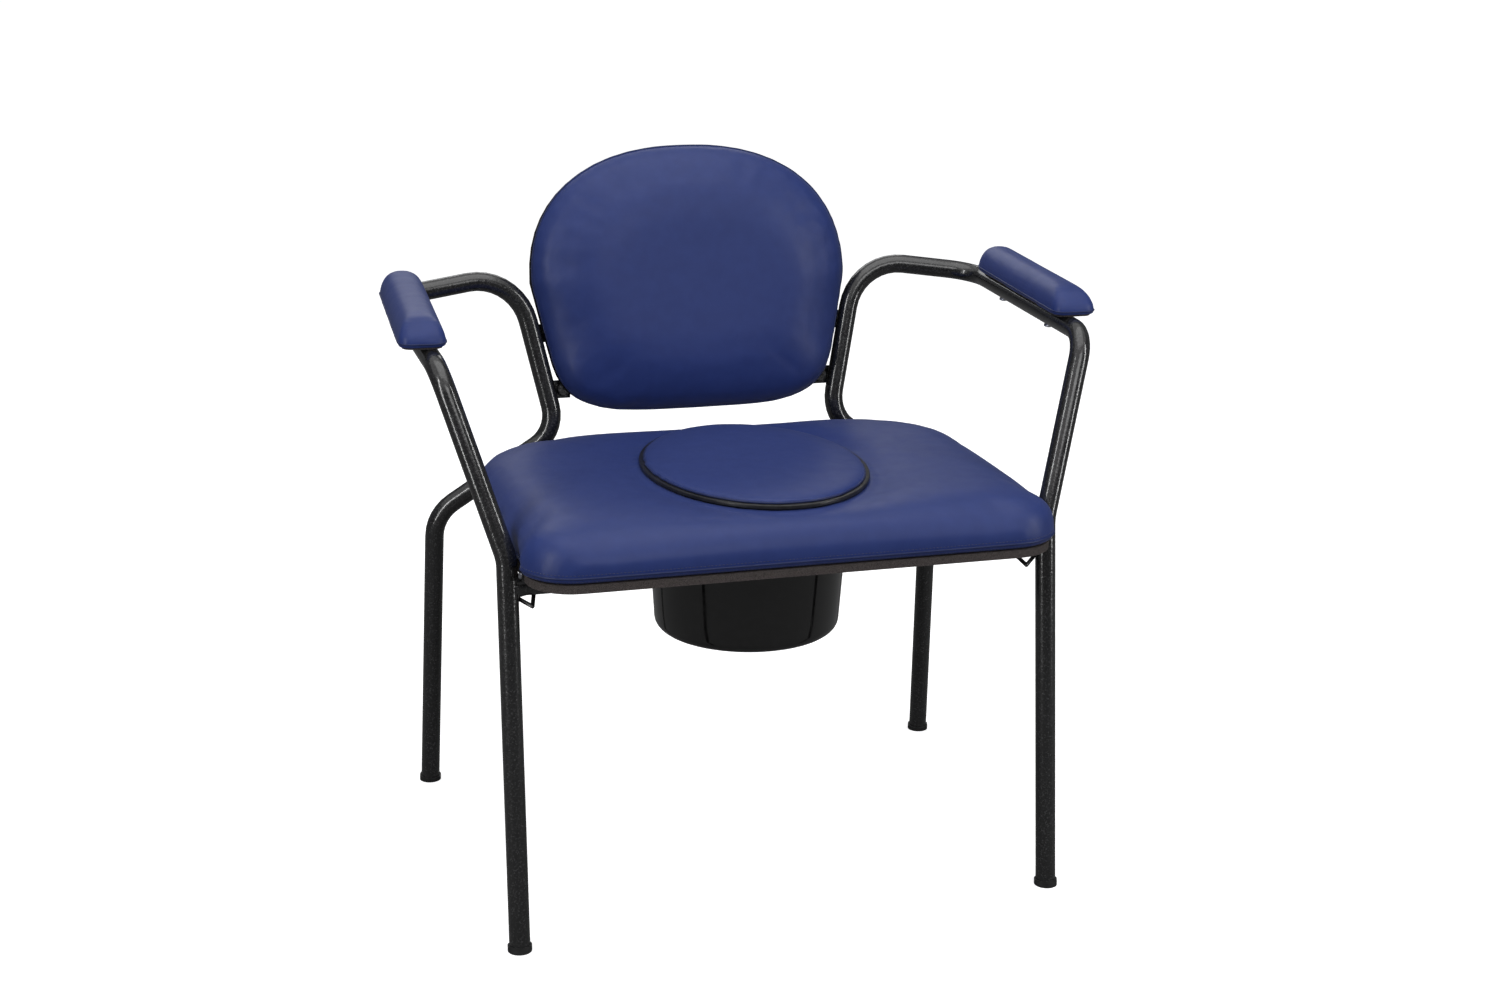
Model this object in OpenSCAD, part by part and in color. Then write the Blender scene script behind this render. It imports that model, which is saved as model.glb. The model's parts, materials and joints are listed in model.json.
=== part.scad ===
// Commode chair: two bent tube side frames joined by cross tubes, a padded seat with an oval opening
// and a lift-off padded plug, a pan that slides sideways on two wire rails, a padded back and arm pads.
// Origin: on the floor, under the middle of the whole chair. +X is the sitter's left, +Y is rearward
// and +Z is up. Left and right in names are the sitter's.

/* [Tubes] */
// Outer diameter of the side frame tubes
tube_d = 25; // [20:0.5:30]
// Wall of every tube
tube_wall = 1.5; // [1:0.1:2.5]
// Outer diameter of the two cross tubes
cross_d = 22; // [16:0.5:24]
// Bend radius at the front knee
knee_r = 50; // [30:1:60]
// Bend radius at the front of the arm
arm_front_r = 40; // [30:1:50]
// Bend radius at the rear of the arm
arm_rear_r = 45; // [30:1:60]
// Bend radius at the top of the upright
top_r = 70; // [40:1:80]
// Bend radius at the waist
waist_r = 50; // [30:1:60]
// Bend radius at the rear knee
rear_knee_r = 60; // [30:1:70]

/* [Legs] */
// Distance between the front and rear feet, centre to centre
foot_depth = 524; // [440:1:640]
// How far the middle of the four feet lies behind the origin
foot_offset = 9; // [0:1:30]
// Outward lean of each front leg, from knee to foot
front_splay = 2.5; // [0:0.5:20]
// Outward lean of each rear leg, from rear knee to foot
rear_splay = 11; // [0:0.5:30]
// Distance from the front edge of the seat board to the front knee
knee_setback = 88.5; // [70:0.5:110]
// Height of the front knee above the underside of the seat board
knee_rise = 18.5; // [12:0.5:30]
// How far the rear knee lies outside the front knee
rear_knee_out = 16.5; // [0:0.5:30]
// How far the rear knee lies behind the waist
rear_knee_back = 29; // [20:0.5:50]
// How far the rear knee lies below the seat board
rear_knee_drop = 55.5; // [50:0.5:80]

/* [Arms and uprights] */
// Height of the centre of the arm tube at its front bend
arm_h = 683; // [640:1:780]
// How far the arm tube rises to its rear bend
arm_rise = 10; // [0:1:20]
// How far the arm tube stands outside the knee
arm_flare = 67.5; // [50:0.5:90]
// How far the front of the arm tube turns inward
arm_toe = 3; // [0:0.5:10]
// How far the front of the arm tube lies behind the knee
arm_setback = 57; // [30:1:80]
// Length of the arm tube between its two bends
arm_len = 362; // [330:1:440]
// Distance between the uprights at the waist, centre to centre
waist_w = 381; // [300:1:420]
// Height of the waist bend above the underside of the seat board
waist_rise = 57; // [50:1:75]
// Gap between the back edge of the seat cushion and the uprights
waist_gap = 10; // [6:0.5:20]
// Height of the uprights from the waist to the top bend
upright_rise = 207; // [180:1:240]
// Outward lean of each upright from the waist to the top bend
upright_spread = 45; // [20:1:60]
// How far the top bend lies behind the rear of the arm tube
upright_offset = 23; // [10:1:40]
// Recline of the uprights
recline = 10; // [5:0.5:15]

/* [Seat] */
// Height of the underside of the seat board
seat_under = 450; // [400:1:520]
// Width of the seat board
seat_w = 640; // [520:1:768]
// Distance from the origin forward to the front edge of the seat board
seat_front = 288; // [265:1:315]
// Depth of the seat board
seat_d = 469; // [440:1:520]
// Thickness of the seat board
board_t = 10; // [8:0.5:15]
// Corner radius of the seat board at the front
seat_front_r = 55; // [30:1:80]
// Corner radius of the seat board at the rear
seat_rear_r = 132; // [60:1:140]
// Height of the seat cushion
cushion_t = 58; // [40:1:75]
// How far the seat cushion stands out beyond the board at its fullest
cushion_over = 13; // [8:0.5:18]
// Gap between the edge of the seat board and each front leg
leg_gap = 2; // [1:0.5:6]
// Width of the oval opening
opening_w = 256; // [220:1:290]
// Depth of the oval opening
opening_d = 348; // [290:1:352]
// Distance from the front edge of the seat board to the middle of the opening
opening_in = 224; // [215:1:240]

/* [Plug] */
// How far the lip of the plug overlaps the seat round the opening
lip_over = 10; // [8:1:16]
// Thickness of the lip
lip_t = 5; // [3:0.5:8]
// Gap round the part of the plug that drops into the opening
plug_gap = 3; // [1:0.5:6]
// Depth of the part of the plug that drops into the opening
skirt_h = 35; // [20:1:45]
// Wall of the plug's skirt
skirt_wall = 4; // [2:0.5:6]
// Height of the plug's cushion
plug_pad_h = 15; // [10:1:25]
// Thickness of the board inside the plug's cushion
plug_board_t = 5; // [3:0.5:8]

/* [Pan] */
// Radius of the pan just below its flange
pan_r = 124; // [100:1:130]
// Radius of the pan at its foot
pan_foot_r = 117; // [90:1:122]
// Height of the pan
pan_h = 122; // [90:1:160]
// Wall of the pan
pan_wall = 3; // [2:0.5:5]
// How far the flange stands out from the pan
flange_w = 23; // [18:1:26]
// Thickness of the flange
flange_t = 3.5; // [2.5:0.5:5]
// Radius of the rounded edge round the foot of the pan
pan_foot_round = 14; // [6:1:20]
// How far the pan sits behind the middle of the opening
pan_back = 21; // [10:1:26]
// Diameter of the rail wire
wire_d = 5; // [4:0.5:6]
// Gap between the pan and each rail
rail_gap = 13.5; // [8:0.5:15]
// Gap between the top of the rails and the front cross tube
rail_drop = 0.5; // [0.5:0.5:6]

/* [Back] */
// How much further the back reclines than the uprights that hold it
back_lean = 3; // [0:0.5:5]
// Height of the lower edge of the back cushion above the waist, along the back
back_low = 17; // [10:1:30]
// Height of the top of the back cushion above the waist, along the back
back_high = 374; // [330:1:420]
// Height of its widest part above the waist, along the back
back_wide_at = 196; // [180:1:210]
// Height where its lower corners start to round in, above the waist
back_round_at = 120; // [90:1:140]
// Fullness of its thickest part
back_pad_t = 47; // [35:1:60]
// Thickness of the back board
back_board_t = 9; // [6:0.5:12]
// Thickness of the rear trim panel
back_panel_t = 2.5; // [1.5:0.5:4]
// Gap between the back cushion and the uprights
back_gap = 0.8; // [0.5:0.1:3]

/* [Arm pads] */
// Width of an arm pad
arm_pad_w = 57; // [46:1:80]
// Length of an arm pad
arm_pad_len = 296; // [240:1:304]
// Height of an arm pad above its tube
arm_pad_h = 35; // [28:1:45]
// Thickness of the board inside an arm pad
arm_board_t = 6; // [4:0.5:8]
// How far the left pad is set outward on its tube
arm_pad_out_left = 8; // [-4:0.5:10]
// How far the right pad is set outward on its tube
arm_pad_out_right = 1; // [-4:0.5:10]
// How far the middle of each pad lies behind the middle of its tube
arm_pad_back = 2; // [-15:1:15]
// How far the left pad is turned on its tube, its rear end inward
arm_pad_turn_left = -1; // [-5:0.5:5]
// How far the right pad is turned on its tube, its rear end inward
arm_pad_turn_right = 3.5; // [-5:0.5:5]
// Distance between the two screws of an arm pad
arm_screw_pitch = 150; // [100:1:190]

/* [Fasteners and feet] */
// Thickness of the bracket plates
plate_t = 3; // [2:0.5:5]
// Diameter of the screws
screw_d = 6; // [5:0.5:8]
// Clearance of a screw in its hole
screw_clear = 0.5; // [0.3:0.1:1]
// Diameter of a foot glide
glide_d = 29; // [27:0.5:34]
// Height of a foot glide below the tube end
glide_h = 7; // [5:0.5:12]
// Depth of a glide's stem in the tube
glide_stem = 22; // [15:1:35]

/* [Hidden] */

// Colours
black_coat = "#1b1b1d";
black_plastic = "#101113";
blue_vinyl = "#2f3c7c";
plywood = "#c29a63";
zinc = "#b9bcc2";

// Number of sides of round tubes, screws and wires as drawn
tube_fn = 48;
wire_fn = 24;
// Sides of a bent tube, and the most that one facet of a bend turns
bent_fn = 28;
bend_step = 10;
// The balls at the corners of a wire are this much fatter than the wire
wire_swell = 0.04;

tube_r = tube_d / 2;
bore_d = tube_d - 2 * tube_wall;
slip = 0.1;
soft_gap = 0.3;
overcut = 1;

// Corner points of the left side frame, where the straight runs would meet
knee_x = seat_w / 2 + leg_gap + tube_r;
front_knee = [knee_x, knee_setback - seat_front, seat_under + knee_rise];
front_foot = [knee_x + front_splay, foot_offset - foot_depth / 2, 0];
seat_rear = seat_d - seat_front;
arm_x = knee_x + arm_flare;
arm_front = [arm_x - arm_toe, front_knee.y + arm_setback, arm_h];
arm_rear = [arm_x, arm_front.y + arm_len, arm_h + arm_rise];
waist = [waist_w / 2, seat_rear + cushion_over * 0.15 + waist_gap + tube_r, seat_under + waist_rise];
back_top = [waist.x + upright_spread, waist.y + upright_rise * tan(recline), waist.z + upright_rise];
rear_knee = [knee_x + rear_knee_out, waist.y + rear_knee_back, seat_under - rear_knee_drop];
rear_foot = [rear_knee.x + rear_splay, foot_offset + foot_depth / 2, 0];

function unit(v) = v / norm(v);
function between(a, b, t) = a + (b - a) * t;
function at_height(a, b, z) = between(a, b, (z - a.z) / (b.z - a.z));
function turn(a, b, c) = acos(unit(b - a) * unit(c - b));
function setback(p, r, i) =
    i == 0 || i == len(p) - 1 ? 0 : r[i] * tan(turn(p[i - 1], p[i], p[i + 1]) / 2);
function tube_end(foot, knee) = at_height(foot, knee, glide_h);

frame_path = [
    tube_end(front_foot, front_knee), front_knee, arm_front, arm_rear,
    back_top, waist, rear_knee, tube_end(rear_foot, rear_knee)
];
frame_bends = [0, knee_r, arm_front_r, arm_rear_r, top_r, waist_r, rear_knee_r, 0];

// Levels below the seat
plate_z = seat_under - plate_t;
cross_z = plate_z - cross_d / 2;
seat_z = seat_under + board_t;
seat_top = seat_z + cushion_t;
rail_z = cross_z - cross_d / 2 - rail_drop - wire_d / 2;
front_cross = at_height(front_foot, front_knee, cross_z);
rear_cross = at_height(rear_knee, waist, cross_z);

// Middle of the opening and of the pan
opening_y = opening_in - seat_front;
pan_y = opening_y + pan_back;
rail_reach = pan_r + rail_gap + wire_d / 2;
flange_z = rail_z + wire_d / 2 + soft_gap;

// Places of the brackets and screws
front_plate_w = 32;
front_plate_in = 30;
front_plate_y = front_cross.y - cross_d / 2 - 15;
front_screw = [seat_w / 2 - 15, front_plate_y + 10];
ear_w = 12;
ear_screw_d = 4;
rear_plate_w = 30;
rear_plate_x = at_height(rear_knee, waist, plate_z).x - 54;
rear_plate_lap = 42;
rear_screw = [rear_plate_x, seat_rear - 28];
head_d = 2 * screw_d;
head_h = screw_d * 0.6;
nut_d = screw_d + 2;
nut_flange_d = screw_d + 10;
nut_flange_t = 1.2;

// Places on the back, as [height along the back, side]
back_tabs = [55, 130];
tab_h = 24;
tab_reach = 34;
tab_screw_in = 24;
back_rear = back_board_t + back_panel_t;
back_turn_at = between(back_tabs[0], back_tabs[1], 0.5);
back_pivot = at_height(waist, back_top, waist.z + back_turn_at * cos(recline));
function back_z(s) = back_pivot.z + (s - back_turn_at) * cos(recline + back_lean);
function upright_x(s) = at_height(waist, back_top, back_z(s)).x;

module mirrored() {
    mirror([1, 0, 0])
        children();
}

module both() {
    children();
    mirrored()
        children();
}

// A straight round bar from p to q
module bar(p, q, d, fn = tube_fn) {
    v = q - p;
    translate(p)
        rotate([0, acos(v.z / norm(v)), atan2(v.y, v.x)])
            cylinder(d = d, h = norm(v), $fn = fn);
}

// Stations along a bent bar with corner points p and bend radii r, as [middle, way ahead, side]. The
// side is square to the way ahead, and turns with each bend.
function turned(v, n, a) = v * cos(a) + cross(n, v) * sin(a) + n * (n * v) * (1 - cos(a));
function bend_stations(mid, out, t, side, n, angle) =
    let (steps = ceil(angle / bend_step))
        [
            for (k = [0:steps])
                let (a = angle * k / steps)
                    [mid + turned(out, n, a), turned(t, n, a), turned(side, n, a)]
        ];
function stations_from(p, r, i, side) =
    let (t = unit(p[i + 1] - p[i]), corner = p[i + 1])
        i == len(p) - 2 ? [[corner, t, side]] :
        let (
            n = unit(cross(t, p[i + 2] - corner)),
            to_mid = r[i + 1] * cross(n, t),
            angle = turn(p[i], corner, p[i + 2])
        )
            concat(
                bend_stations(corner - setback(p, r, i + 1) * t + to_mid, -to_mid, t, side, n, angle),
                stations_from(p, r, i + 1, turned(side, n, angle))
            );
function stations(p, r) =
    let (t = unit(p[1] - p[0]), side = unit(cross(t, abs(t.z) > 0.7 ? [0, 1, 0] : [0, 0, 1])))
        concat([[p[0], t, side]], stations_from(p, r, 0, side));
function station_ring(s, d, fn) = [
    for (j = [0:fn - 1])
        let (a = 360 * j / fn)
            s[0] + d / 2 * (s[2] * cos(a) + cross(s[1], s[2]) * sin(a))
];

// A round bar bent along the corner points p, solid or with a bore right through
module bent_bar(p, r, d, bore = 0, fn = bent_fn) {
    path = stations(p, r);
    outer = [for (s = path) station_ring(s, d, fn)];
    inner = [for (i = [len(path) - 1:-1:0]) station_ring(path[i], bore, fn)];
    loft(bore > 0 ? concat(outer, inner) : outer, ringed = bore > 0);
}

// Outlines, as points that run anticlockwise
function arc(c, r, from, to, n) =
    [for (i = [0:n]) let (a = from + (to - from) * i / n) c + r * [cos(a), sin(a)]];
function oval(a, b, n = 72) = [for (i = [0:n - 1]) [a * cos(360 * i / n), b * sin(360 * i / n)]];
function steps(from, to, n) = [for (i = [1:n]) between(from, to, i / (n + 1))];

// A rectangle from x = -w to w and y = -front to rear, with its own corner radii front and rear,
// n steps round a corner, m points down each side and k points along the front and the rear
function rounded(w, front, rear, rf, rr, n = 8, m = 12, k = 10) = concat(
    steps([w, rf - front], [w, rear - rr], m),
    arc([w - rr, rear - rr], rr, 0, 90, n),
    steps([w - rr, rear], [rr - w, rear], k),
    arc([rr - w, rear - rr], rr, 90, 180, n),
    steps([-w, rear - rr], [-w, rf - front], m),
    arc([rf - w, rf - front], rf, 180, 270, n),
    steps([rf - w, -front], [w - rf, -front], k),
    arc([w - rf, rf - front], rf, 270, 360, n)
);

// The back's outline, as [side, height along the back]: it narrows downward with the uprights.
// The higher the square value, the squarer the corners.
back_upper_square = 2.3;
back_lower_square = 4;
function power(v, square) = sign(v) * pow(abs(v), 2 / square);
function back_half(s) = upright_x(s) - tube_r / cos(atan(upright_spread / upright_rise)) - back_gap;
function back_point(a, at, reach, square, inset) =
    let (s = at + (reach - inset) * power(sin(a), square))
        [(back_half(min(s, back_wide_at)) - inset) * power(cos(a), square), s];
back_upper_reach = back_high - back_wide_at;
back_lower_reach = back_round_at - back_low;
function back_outline(inset, n = 28) = concat(
    [for (i = [0:n]) back_point(180 * i / n, back_wide_at, back_upper_reach, back_upper_square, inset)],
    [for (i = [0:n]) back_point(180 + 180 * i / n, back_round_at, back_lower_reach, back_lower_square, inset)]
);
function arm_outline(side, front) = rounded(
    arm_pad_w / 2 - side, arm_pad_len / 2 - front, arm_pad_len / 2 - side,
    min(max(14 - side / 2, 5), arm_pad_w / 2 - side - 0.5), arm_pad_w / 2 - side - 0.5, 8, 4, 1
);
function lifted(points, z) = [for (p = points) [p.x, p.y, z]];

function middle(points) = [for (p = points) 1] * points / len(points);

// A skin over rings of points, each ring anticlockwise seen from the next one.
// When ringed is true the last ring joins the first, otherwise a fan closes each end.
module loft(rings, ringed = false) {
    n = len(rings[0]);
    m = len(rings);
    walls = [
        for (i = [0:(ringed ? m - 1 : m - 2)], j = [0:n - 1])
            let (k = (j + 1) % n, here = i * n, next = (i + 1) % m * n)
                each [[next + j, next + k, here + k], [next + j, here + k, here + j]]
    ];
    ends = [
        for (j = [0:n - 1])
            each [[m * n, j, (j + 1) % n], [m * n + 1, (m - 1) * n + (j + 1) % n, (m - 1) * n + j]]
    ];
    polyhedron(
        points = concat([for (r = rings) each r], ringed ? [] : [middle(rings[0]), middle(rings[m - 1])]),
        faces = ringed ? walls : concat(walls, ends),
        convexity = 6
    );
}

// A round-headed screw along +Z from z = 0, its head below
module screw(length, d = screw_d) {
    difference() {
        union() {
            cylinder(d = d, h = length, $fn = wire_fn);
            translate([0, 0, -0.4 * d])
                cylinder(d = 2 * d, h = 0.4 * d, $fn = wire_fn);
            translate([0, 0, -0.6 * d])
                cylinder(d1 = 1.2 * d, d2 = 2 * d, h = 0.2 * d, $fn = wire_fn);
        }
        translate([0, 0, -0.6 * d - overcut])
            cylinder(d = 0.65 * d, h = 0.35 * d + overcut, $fn = 6);
    }
}

// A flanged nut whose flange top is at z = 0 and whose barrel hangs below
module tee_nut(length) {
    difference() {
        union() {
            translate([0, 0, -nut_flange_t])
                cylinder(d = nut_flange_d, h = nut_flange_t, $fn = tube_fn);
            translate([0, 0, -length])
                cylinder(d = nut_d, h = length, $fn = tube_fn);
        }
        translate([0, 0, -length - overcut])
            cylinder(d = screw_d + slip, h = length + 2 * overcut, $fn = tube_fn);
    }
}

// The pocket for a tee nut in a board of thickness t, whose top is at z = 0
module nut_pocket(t) {
    translate([0, 0, -nut_flange_t])
        cylinder(d = nut_flange_d + 2 * slip, h = nut_flange_t + overcut, $fn = tube_fn);
    translate([0, 0, -t - overcut])
        cylinder(d = nut_d + 2 * slip, h = t + 2 * overcut, $fn = tube_fn);
}

// Frames of reference
module in_back() {
    translate([0, back_pivot.y, back_pivot.z])
        rotate([-recline - back_lean, 0, 0])
            translate([0, 0, -back_turn_at])
                children();
}

arm_mid = between(arm_front, arm_rear, 0.5);
module on_arm() {
    translate(arm_mid)
        rotate([atan(arm_rise / arm_len), 0, -atan(arm_toe / arm_len)])
            children();
}

module in_arm_pad(pad_out, pad_turn) {
    on_arm()
        translate([pad_out, arm_pad_back, tube_r])
            rotate([0, 0, pad_turn])
                children();
}

module at_arm_screws() {
    for (y = [-1, 1])
        translate([0, y * arm_screw_pitch / 2, 0])
            children();
}

module at_back_screws() {
    for (s = back_tabs)
        both()
            translate([upright_x(s) - tab_screw_in, 0, s])
                children();
}

module at_seat_screws() {
    both() {
        translate([front_screw.x, front_screw.y, 0])
            children();
        translate([rear_screw.x, rear_screw.y, 0])
            children();
    }
}

// Side frame: one bent tube from the front foot to the rear foot
module side_frame() {
    color(black_coat)
        difference() {
            bent_bar(frame_path, frame_bends, tube_d, bore_d);
            on_arm()
                at_arm_screws()
                    translate([0, 0, -tube_d])
                        cylinder(d = screw_d + screw_clear, h = 2 * tube_d, $fn = wire_fn);
        }
}

module cross_tube(p, from, to) {
    color(black_coat)
        difference() {
            bar([-p.x, p.y, p.z], p, cross_d);
            bar([-p.x, p.y, p.z], p, cross_d - 2 * tube_wall);
            both()
                bar(from, to, tube_d);
        }
}

// Front bracket: a plate on the cross tube that turns up beside the seat board
module seat_bracket_front() {
    edge = seat_w / 2;
    color(black_coat)
        difference() {
            union() {
                translate([edge - front_plate_in, front_plate_y, plate_z])
                    cube([front_plate_in + leg_gap + tube_r / 2, front_plate_w, plate_t]);
                translate([edge, front_plate_y, plate_z])
                    cube([plate_t, ear_w, plate_t + board_t - 0.5]);
            }
            bar(front_foot, front_knee, tube_d);
            translate([front_screw.x, front_screw.y, plate_z - overcut])
                cylinder(d = screw_d + screw_clear, h = plate_t + 2 * overcut, $fn = wire_fn);
            translate([edge - overcut, front_plate_y + ear_w / 2, seat_under + board_t / 2])
                rotate([0, 90, 0])
                    cylinder(d = ear_screw_d + screw_clear, h = plate_t + 2 * overcut, $fn = wire_fn);
        }
}

// Rear bracket: a plate on the rear cross tube that reaches forward under the seat board
module seat_bracket_rear() {
    depth = rear_cross.y + cross_d / 4 - (seat_rear - rear_plate_lap);
    color(black_coat)
        difference() {
            translate([rear_plate_x - rear_plate_w / 2, seat_rear - rear_plate_lap, plate_z])
                cube([rear_plate_w, depth, plate_t]);
            translate([rear_screw.x, rear_screw.y, plate_z - overcut])
                cylinder(d = screw_d + screw_clear, h = plate_t + 2 * overcut, $fn = wire_fn);
        }
}

// Front rail: a wire from leg to leg, with a hanging loop at each end
rail_turn_x = seat_w / 2 - 20;
module pan_rail_front() {
    leg = at_height(front_foot, front_knee, rail_z);
    corner = [rail_turn_x, pan_y - rail_reach, rail_z];
    weld = [leg.x - tube_r / 2, leg.y + 6, rail_z];
    tip = [rail_turn_x + 7.5, leg.y - 6, rail_z - 9];
    color(black_coat)
        difference() {
            union() {
                bar([-corner.x, corner.y, rail_z], corner, wire_d, wire_fn);
                both() {
                    bar(corner, weld, wire_d, wire_fn);
                    bar(corner, tip, wire_d, wire_fn);
                    bar(tip, between(corner, weld, 0.9), wire_d, wire_fn);
                    for (p = [corner, tip])
                        translate(p)
                            sphere(d = wire_d + wire_swell, $fn = wire_fn);
                }
            }
            both()
                bar(front_foot, front_knee, tube_d);
        }
}

// Rear rail: a wire that passes under the rear cross tube, forward and across behind the pan
rail_bend_r = 15;
module pan_rail_rear() {
    x = rail_turn_x - 30;
    y = pan_y + rail_reach;
    color(black_coat)
        bent_bar(
            [[-x, rear_cross.y + 8, rail_z], [-x, y, rail_z], [x, y, rail_z], [x, rear_cross.y + 8, rail_z]],
            [0, rail_bend_r, rail_bend_r, 0], wire_d, fn = wire_fn
        );
}

// Foot glide: a flanged plug in the tube end, with a flat sole on the floor
module glide(foot, knee) {
    axis = unit(knee - foot);
    top = tube_end(foot, knee);
    color(black_plastic)
        intersection() {
            union() {
                bar(top, top - 2 * glide_h * axis, glide_d);
                bar(top + glide_stem * axis, top - overcut * axis, bore_d - 2 * slip);
            }
            translate([top.x - glide_d, top.y - glide_d, 0])
                cube([2 * glide_d, 2 * glide_d, glide_h + glide_stem + glide_d]);
        }
}

module seat_board() {
    color(plywood)
        difference() {
            translate([0, 0, seat_under])
                linear_extrude(board_t)
                    difference() {
                        polygon(rounded(seat_w / 2, seat_front, seat_rear, seat_front_r, seat_rear_r));
                        translate([0, opening_y])
                            polygon(oval(opening_w / 2, opening_d / 2));
                    }
            at_seat_screws()
                translate([0, 0, seat_z])
                    nut_pocket(board_t);
            both()
                translate([seat_w / 2 - 9, front_plate_y + ear_w / 2, seat_under + board_t / 2])
                    rotate([0, 90, 0])
                        cylinder(d = ear_screw_d + slip, h = 9 + overcut, $fn = wire_fn);
        }
}

// Seat cushion: rounded sides that give way to the front legs, and an oval opening
cushion_w = seat_w / 2 + cushion_over;
cushion_front = seat_front + cushion_over * 0.55;
cushion_rear = seat_rear + cushion_over * 0.15;
cushion_profile = [[8.5, 0], [2.5, 0.07], [0, 0.22], [1, 0.45], [5, 0.66], [13, 0.84], [26, 0.95], [44, 1]];
leg_slope = (arm_front - front_knee) / (arm_front.z - front_knee.z);
function leg_at(z) = front_knee + leg_slope * max(0, z - front_knee.z);
function dent(d, half) = abs(d) < half ? 1 : max(0, cos((abs(d) - half) * 90 / half));
function give_way(p, z) =
    let (leg = leg_at(z), room = leg.x - tube_r / cos(17) - 1.2, over = max(0, abs(p.x) - room))
        [p.x - sign(p.x) * over * dent(p.y - leg.y, tube_r + 6), p.y, z];
function cushion_ring(inset, z) = [
    for (p = rounded(
        cushion_w - inset, cushion_front - inset, cushion_rear - inset,
        max(seat_front_r + cushion_over - inset, 20), seat_rear_r + cushion_over - inset
    )) give_way(p, z)
];
function toward_opening(ring, z, grow) = [
    for (p = ring)
        let (a = atan2((p.y - opening_y) / opening_d, p.x / opening_w))
            [(opening_w / 2 + grow) * cos(a), opening_y + (opening_d / 2 + grow) * sin(a), z]
];
module seat_cushion() {
    top_ring = cushion_ring(44, seat_top);
    color(blue_vinyl)
        loft(concat(
            [for (q = cushion_profile) cushion_ring(q[0], seat_z + q[1] * cushion_t)],
            [toward_opening(top_ring, seat_top, 6), toward_opening(top_ring, seat_top - 4, 0)],
            [toward_opening(top_ring, seat_z, 0)]
        ), ringed = true);
}

module seat_screws() {
    color(zinc)
        at_seat_screws()
            translate([0, 0, plate_z])
                screw(plate_t + board_t - 2);
}

module seat_edge_screws() {
    color(zinc)
        both()
            translate([seat_w / 2 + plate_t, front_plate_y + ear_w / 2, seat_under + board_t / 2])
                rotate([0, -90, 0])
                    screw(plate_t + 8, ear_screw_d);
}

module seat_tee_nuts() {
    color(zinc)
        at_seat_screws()
            translate([0, 0, seat_z])
                tee_nut(board_t - 1);
}

// Plug: a lipped base with a skirt, a thin board and a domed cushion
plug_z = seat_top + soft_gap;
plug_pad_z = plug_z + lip_t;
lip_a = opening_w / 2 + lip_over;
lip_b = opening_d / 2 + lip_over;
plug_screw_in = 62;
module at_plug_screws() {
    for (x = [-1, 1], y = [-1, 1])
        translate([x * (opening_w / 2 - plug_screw_in), opening_y + y * (opening_d / 2 - plug_screw_in), 0])
            children();
}

module plug_base() {
    a = opening_w / 2 - plug_gap;
    b = opening_d / 2 - plug_gap;
    color(black_plastic)
        difference() {
            translate([0, opening_y, plug_z])
                union() {
                    linear_extrude(lip_t)
                        polygon(oval(lip_a, lip_b));
                    translate([0, 0, -skirt_h])
                        linear_extrude(skirt_h + overcut)
                            difference() {
                                polygon(oval(a, b));
                                polygon(oval(a - skirt_wall, b - skirt_wall));
                            }
                }
            at_plug_screws()
                translate([0, 0, plug_z - overcut])
                    cylinder(d = ear_screw_d + screw_clear, h = lip_t + 2 * overcut, $fn = wire_fn);
        }
}

plug_pad_edge = 4;
plug_wrap = 8;
module plug_board() {
    color(plywood)
        difference() {
            translate([0, opening_y, plug_pad_z])
                linear_extrude(plug_board_t)
                    polygon(oval(lip_a - plug_pad_edge - plug_wrap, lip_b - plug_pad_edge - plug_wrap));
            at_plug_screws()
                translate([0, 0, plug_pad_z - overcut])
                    cylinder(d = ear_screw_d + slip, h = plug_board_t, $fn = wire_fn);
        }
}

plug_profile = [[0.6, 0], [0, 0.2], [1, 0.45], [4, 0.65], [10, 0.8], [24, 0.9], [50, 0.97], [90, 1]];
module plug_cushion() {
    a = lip_a - plug_pad_edge;
    b = lip_b - plug_pad_edge;
    pocket = plug_wrap - soft_gap;
    color(blue_vinyl)
        translate([0, opening_y, plug_pad_z])
            loft(concat(
                [lifted(oval(a - pocket, b - pocket), plug_board_t + soft_gap)],
                [lifted(oval(a - pocket, b - pocket), 0)],
                [for (q = plug_profile) lifted(oval(a - q[0], b - q[0]), q[1] * plug_pad_h)]
            ));
}

module plug_screws() {
    color(zinc)
        at_plug_screws()
            translate([0, 0, plug_z])
                screw(lip_t + plug_board_t - 2, ear_screw_d);
}

// Pan: a round bucket with a flat flange that rests on the rails
module pan() {
    inner_round = pan_foot_round - pan_wall;
    pan_low = flange_z + flange_t - pan_h;
    outside = concat(
        [[0, pan_low]],
        arc([pan_foot_r - pan_foot_round, pan_low + pan_foot_round], pan_foot_round, -90, -4, 6),
        [[pan_r, flange_z], [pan_r + flange_w, flange_z], [pan_r + flange_w, flange_z + flange_t]]
    );
    inside = concat(
        arc([pan_foot_r - pan_foot_round, pan_low + pan_foot_round], inner_round, -90, -4, 6),
        [[pan_r - pan_wall, flange_z + flange_t]]
    );
    rim_first = [for (i = [len(inside) - 1:-1:0]) inside[i]];
    color(black_plastic)
        translate([0, pan_y, 0])
            rotate_extrude($fn = 96)
                polygon(concat(outside, rim_first, [[0, pan_low + pan_wall]]));
}

// Back: a cushion on a board, closed by a trim panel behind, held by four tabs on the uprights
module back_plate(from, t, inset) {
    translate([0, from + t, 0])
        rotate([90, 0, 0])
            linear_extrude(t)
                polygon(back_outline(inset));
}

module back_board() {
    color(plywood)
        in_back()
            difference() {
                back_plate(0, back_board_t, 8);
                at_back_screws()
                    rotate([90, 0, 0])
                        nut_pocket(back_board_t);
            }
}

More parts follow.
